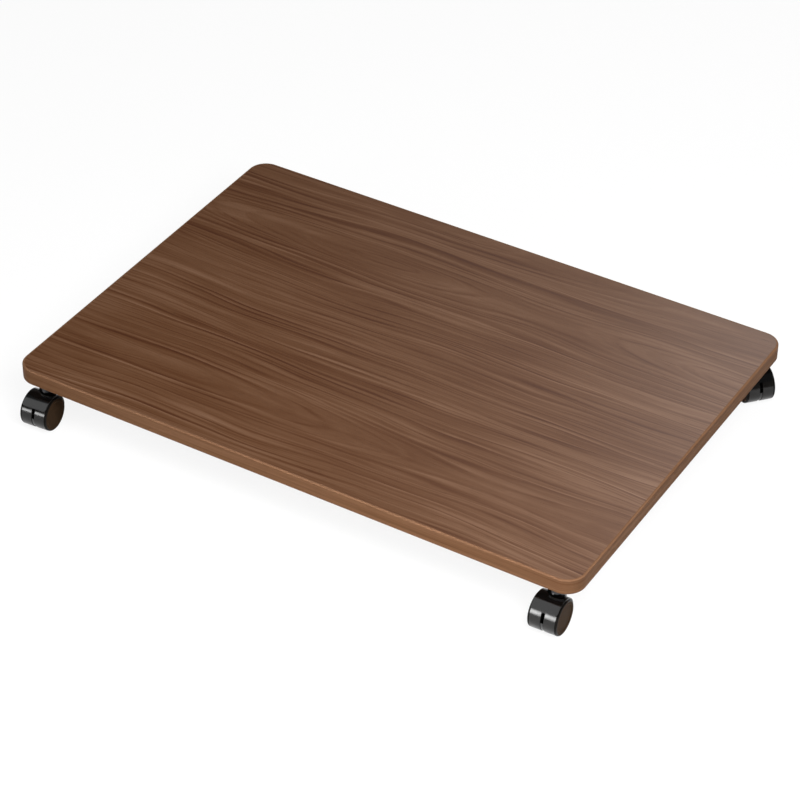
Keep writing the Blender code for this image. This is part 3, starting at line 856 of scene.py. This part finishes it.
def webPlate():
    s = casterSettings
    runs = (
        (*s["guardAngles"], s["wheelRadius"] - s["guardRecess"]),
        (s["guardAngles"][1], s["webAngles"][0], (s["axleBoss"][0] + s["wheelRadius"]) / 2),
        (*s["webAngles"], s["wheelRadius"] + s["hoodGap"] + s["hoodWall"] / 2),
        (s["webAngles"][1], s["guardAngles"][0], (s["axleBore"] + s["axleBoss"][0]) / 2),
    )
    outline = []
    steps = 32
    for start, end, radius in runs:
        angles = [math.radians(start + (end - start) * n / steps) for n in range(steps + 1)]
        outline += [(-radius * math.cos(a), radius * math.sin(a)) for a in angles]
    half = s["webThickness"] / 2
    bm = bmesh.new()
    sides = [[bm.verts.new((x, y, z)) for y, z in outline] for x in (-half, half)]
    for side in sides:
        bm.faces.new(side)
    for n in range(len(outline)):
        bm.faces.new((sides[0][n - 1], sides[0][n], sides[1][n], sides[1][n - 1]))
    mesh = meshFrom(bm, "web")
    mesh.transform(axleFrame())
    return mesh


def carved(mesh, cuts):
    blank = bpy.data.objects.new("blank", mesh)
    scene.collection.objects.link(blank)
    tools = []
    for operation, shape in cuts:
        tool = bpy.data.objects.new("tool", shape)
        scene.collection.objects.link(tool)
        change = blank.modifiers.new(operation, "BOOLEAN")
        change.operation = operation
        change.solver = "EXACT"
        change.object = tool
        tools.append(tool)
    result = asMesh(blank)
    for tool in tools:
        bpy.data.objects.remove(tool, do_unlink=True)
    return result


def keepSpots(mesh):
    spots = mesh.attributes.get("spot") or mesh.attributes.new("spot", "FLOAT_VECTOR", "POINT")
    for item, vertex in zip(spots.data, mesh.vertices):
        item.vector = vertex.co
    return mesh


def housingMesh():
    s = casterSettings
    room = s["wheelRadius"] + s["hoodGap"]
    low = s["wheelRadius"] + s["hoodWall"]
    sideways = axleFrame() @ Matrix.Rotation(math.pi / 2, 4, "Y")
    top, base = s["bossTop"], s["bossBase"]
    outline = [(0.0, top), (s["bossRadius"], top), (base, top - s["bossFlare"]), (base, low), (0.0, low)]
    boss = turnedMesh(softened(outline, {1: 0.6 * mm, 2: 2.5 * mm}), "hood", turnSettings["smallSteps"])
    bush, bushLength = s["axleBoss"]
    width = s["hoodWidth"]
    bore = s["socketRadius"]
    above, floor = top + 2 * mm, top - s["socketDepth"]
    socket = [(0.0, above), (bore, above), (bore, floor), (0.0, floor)]
    fine = turnSettings["boreSteps"]
    mesh = carved(
        hoodStrip(),
        [
            ("UNION", boss),
            ("DIFFERENCE", rod(room, -width, width, turnSettings["roomSteps"], sideways)),
            ("UNION", webPlate()),
            ("UNION", rod(bush, -bushLength / 2, bushLength / 2, fine, sideways)),
            ("DIFFERENCE", turnedMesh(socket, "hood", fine)),
            ("DIFFERENCE", rod(s["axleBore"], -width, width, fine, sideways)),
        ],
    )
    mesh.materials.clear()
    mesh.materials.append(finishes["hood"])
    return keepSpots(tidyMesh(mesh))


fittingSettings = {
    "collarAcross": 12.0 * mm,
    "collar": (41.9 * mm, 44.4 * mm),
    "collarEdge": 0.25 * mm,
    "pinRadius": 4.0 * mm,
    "pinBottom": 33.90 * mm,
    "shankRadius": 3.7 * mm,
    "shankTop": 54.9 * mm,
    "washer": (4.3 * mm, 6.5 * mm, 40.6 * mm, 41.6 * mm),
    "flange": (7.5 * mm, 44.7 * mm, 45.7 * mm),
    "insert": (4.0 * mm, 5.2 * mm, 56.7 * mm),
    "edge": 0.2 * mm,
}


def stemMesh():
    s = fittingSettings
    low, high = s["collar"]
    middle = (low + high) / 2
    shank, top = s["shankRadius"], s["shankTop"]
    thick, bottom = s["pinRadius"], s["pinBottom"]
    outline = [(0.0, top), (shank, top), (shank, middle), (thick, middle), (thick, bottom), (0.0, bottom)]
    pin = turnedMesh(softened(outline, {1: 0.5 * mm, 4: 0.5 * mm}), "zinc", turnSettings["smallSteps"])
    corner = s["collarAcross"] / 2 / math.cos(math.pi / 6)
    hexagon = turnedMesh([(0.0, high), (corner, high), (corner, low), (0.0, low)], "zinc", 6)
    crown = s["collarEdge"]
    wide = corner + 0.02 * mm
    narrow = wide - 3 * crown
    drum = [(0.0, high), (narrow, high), (wide, high - crown), (wide, low + crown), (narrow, low), (0.0, low)]
    drum = turnedMesh(drum, "zinc", turnSettings["boreSteps"])
    nut = carved(hexagon, [("INTERSECT", drum)])  # chamfered corners of the hexagon
    mesh = carved(pin, [("UNION", nut)])
    mesh.materials.clear()
    mesh.materials.append(finishes["zinc"])
    return keepSpots(tidyMesh(mesh))


def washerMesh():
    inner, outer, low, high = fittingSettings["washer"]
    edge = fittingSettings["edge"]
    rim = [(outer - edge, high), (outer, high - edge), (outer, low + edge), (outer - edge, low)]
    outline = rim + [(inner, low), (inner, high)]
    return turnedMesh(outline, "nylon", turnSettings["smallSteps"], closed=True)


def insertMesh():
    s = fittingSettings
    bore, body, top = s["insert"]
    wide, low, high = s["flange"]
    edge = s["edge"]
    rim = [(wide - edge, high), (wide, high - edge), (wide, low + edge), (wide - edge, low)]
    outline = rim + [(bore + edge, low), (bore, low + edge), (bore, top), (body, top), (body, high)]
    return turnedMesh(outline, "zinc", turnSettings["smallSteps"], closed=True)


def placeUnder(corner):
    x, y = joints[corner + "_swivel"]["pos_m"][:2]
    axis = joints[corner + "_roll_right"]["axis"]
    return Matrix.Translation((x, y, 0.0)) @ Matrix.Rotation(math.atan2(axis[1], axis[0]), 4, "Z")


def setPiece(name, mesh, matrix, body, node, sharp=35.0):
    own = mesh.copy()
    own.transform(matrix)
    piece = addPiece(name, own, sharp)
    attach(piece, body)
    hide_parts(node)


def makeCasters():
    wheel = wheelMesh()
    housing = housingMesh()
    fixed = (
        ("stem", stemMesh(), "stem", "zinc_steel"),
        ("washer", washerMesh(), "thrust_washer", "white_nylon"),
        ("insert", insertMesh(), "insert_nut", "zinc_steel"),
    )
    for corner in corners:
        matrix = placeUnder(corner)
        for name, mesh, node, slot in fixed:
            setPiece(corner + "_fixed_" + name, mesh, matrix, "board", corner + "_" + node)
        body = corner + "_caster"
        setPiece(corner + "_hood", housing, matrix, body, corner + "_housing", 30.0)
        for side, turn in (("right", 0.0), ("left", math.pi)):
            spun = matrix @ axleFrame() @ Matrix.Rotation(turn, 4, "Z")
            body = corner + "_wheel_" + side
            setPiece(body + "_moulding", wheel, spun, body, body)
        frame["nodes"][corner + "_axle"].data.materials[0] = finishes["zinc"]
        frame["nodes"][corner + "_snap_ring"].data.materials[0] = finishes["spring"]
        print("caster:", corner)


makeCasters()


# floor, lamps and camera

stageSettings = {
    "floorRadius": 9.0,
    "floorColour": (0.96, 0.96, 0.96, 1.0),
    # share of plain white that a shadow can't take away: as seen, and in reflections
    "floorGlow": (0.88, 0.12),
    # light all round, what the camera sees on top of it, and what reflections see
    "world": (0.04, 0.96, 0.06),
    # name, place, aim, width, height, spread, watts, is mirrored, falls on the top
    "lamps": (
        ("rightKey", (1.02, -0.74, 1.36), (0.20, -0.05, 0.05), 0.9, 0.9, 180.0, 43.0, False, True),
        ("backSheen", (-0.18, 2.45, 2.00), (0.15, 0.0, 0.05), 1.2, 1.3, 180.0, 12.8, True, True),
        ("backWash", (-1.12, 2.45, 2.00), (0.0, 0.0, 0.05), 0.68, 1.3, 180.0, 1.15, True, True),
        ("frontFill", (-0.55, -1.10, 1.89), (0.0, -0.1, 0.05), 2.0, 2.6, 180.0, 23.5, True, True),
        ("frontWindow", (-0.36, -1.85, 0.52), (0.27, -0.21, 0.03), 0.36, 1.00, 40.0, 1.85, True, False),
        ("leftWindow", (-0.92, -1.66, 0.26), (-0.27, -0.21, 0.03), 0.30, 0.40, 40.0, 0.35, True, False),
    ),
}
cameraSettings = {
    "place": (1.108421, -1.85371, 1.666343),
    "turn": (52.41981, -0.34438, 31.19763),
    "lens": 127.767,
}


def makeFloor():
    finish, tree, surface = newFinish("paleFloor")
    tree.nodes.remove(surface)
    seen = addNode(tree, "ShaderNodeLightPath").outputs
    plain, mirrored = stageSettings["floorGlow"]
    bounced = calc(tree, "MAXIMUM", seen["Is Glossy Ray"], seen["Is Transmission Ray"])
    bounced = calc(tree, "MULTIPLY", bounced, mirrored)
    lit = addNode(tree, "ShaderNodeBsdfDiffuse", {"Color": stageSettings["floorColour"]})
    glow = addNode(tree, "ShaderNodeEmission", {"Strength": 1.0})
    share = calc(tree, "MULTIPLY_ADD", seen["Is Camera Ray"], plain, bounced)
    both = addNode(tree, "ShaderNodeMixShader", {0: share, 1: lit.outputs[0], 2: glow.outputs[0]})
    tree.links.new(both.outputs[0], tree.nodes["Material Output"].inputs["Surface"])
    bm = bmesh.new()
    bmesh.ops.create_circle(bm, cap_ends=True, segments=96, radius=stageSettings["floorRadius"])
    mesh = bpy.data.meshes.new("floor")
    bm.to_mesh(mesh)
    bm.free()
    mesh.materials.append(finish)
    floor = bpy.data.objects.new("floor", mesh)
    scene.collection.objects.link(floor)


def makeWorld():
    world = bpy.data.worlds.new("studio")
    scene.world = world
    world.use_nodes = True
    tree = world.node_tree
    around = tree.nodes["Background"]
    seen = addNode(tree, "ShaderNodeLightPath").outputs
    around.inputs["Color"].default_value = (1.0, 1.0, 1.0, 1.0)
    plain, pale, mirrored = stageSettings["world"]
    bounced = calc(tree, "MAXIMUM", seen["Is Glossy Ray"], seen["Is Transmission Ray"])
    level = calc(tree, "MULTIPLY_ADD", bounced, mirrored, plain)
    level = calc(tree, "MULTIPLY_ADD", seen["Is Camera Ray"], pale, level)
    tree.links.new(level, around.inputs["Strength"])


def makeLamps():
    offTop = bpy.data.collections.new("allButTop")   # for the narrow windows, which would glare on the top
    offTop.objects.link(bpy.data.objects["walnut_top_sheet"])
    offTop.collection_objects[0].light_linking.link_state = "EXCLUDE"
    for name, place, aim, width, height, fan, watts, mirrored, onTop in stageSettings["lamps"]:
        light = bpy.data.lights.new(name, "AREA")
        light.shape = "RECTANGLE"
        light.size = width
        light.size_y = height
        light.spread = math.radians(fan)
        light.energy = watts
        lamp = bpy.data.objects.new(name, light)
        scene.collection.objects.link(lamp)
        lamp.location = place
        lamp.rotation_euler = (Vector(aim) - Vector(place)).to_track_quat("-Z", "Y").to_euler()
        lamp.visible_camera = False
        lamp.visible_glossy = mirrored
        if not onTop:
            lamp.light_linking.receiver_collection = offTop


def makeCamera():
    lens = bpy.data.cameras.new("view")
    lens.lens = cameraSettings["lens"]
    lens.sensor_width = 36.0
    eye = bpy.data.objects.new("view", lens)
    scene.collection.objects.link(eye)
    eye.location = cameraSettings["place"]
    eye.rotation_euler = [math.radians(turn) for turn in cameraSettings["turn"]]
    scene.camera = eye


makeFloor()
makeWorld()
makeLamps()
makeCamera()
print("floor, lamps and camera")
